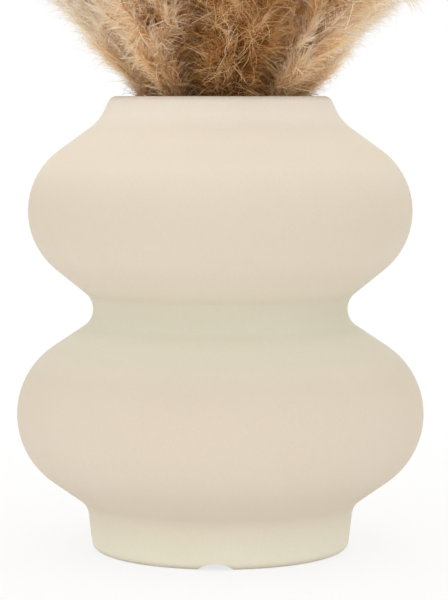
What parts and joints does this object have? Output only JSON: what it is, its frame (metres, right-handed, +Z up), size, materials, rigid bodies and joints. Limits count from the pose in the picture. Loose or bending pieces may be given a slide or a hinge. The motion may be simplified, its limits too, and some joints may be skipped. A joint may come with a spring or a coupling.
{
  "type": "vase of dried pampas grass",
  "caption": "Double-bellied matte ceramic vase that holds a full spreading bunch of dried pampas grass plumes.",
  "frame": {"origin": "middle of the vase's foot, on the surface that it stands on", "axes": "+Z up along the vase's axis; the front, with the drain notch, is -Y; +X is to the right seen from the front"},
  "size_m": [0.4431, 0.4639, 0.5355],
  "materials": {
    "matte_ceramic": "matte",
    "dry_straw": "matte",
    "pampas_fluff": "matte"
  },
  "bodies": {
    "root": {"vase": "matte_ceramic", "stem_01": "dry_straw", "stem_02": "dry_straw", "stem_03": "dry_straw", "stem_04": "dry_straw", "stem_05": "dry_straw", "stem_06": "dry_straw", "stem_07": "dry_straw", "stem_08": "dry_straw", "stem_09": "dry_straw", "stem_10": "dry_straw", "stem_11": "dry_straw", "stem_12": "dry_straw", "stem_13": "dry_straw", "plume_01": "pampas_fluff", "plume_02": "pampas_fluff", "plume_03": "pampas_fluff", "plume_04": "pampas_fluff", "plume_05": "pampas_fluff", "plume_06": "pampas_fluff", "plume_07": "pampas_fluff", "plume_08": "pampas_fluff", "plume_09": "pampas_fluff", "plume_10": "pampas_fluff", "plume_11": "pampas_fluff", "plume_12": "pampas_fluff", "plume_13": "pampas_fluff"}
  },
  "joints": []
}
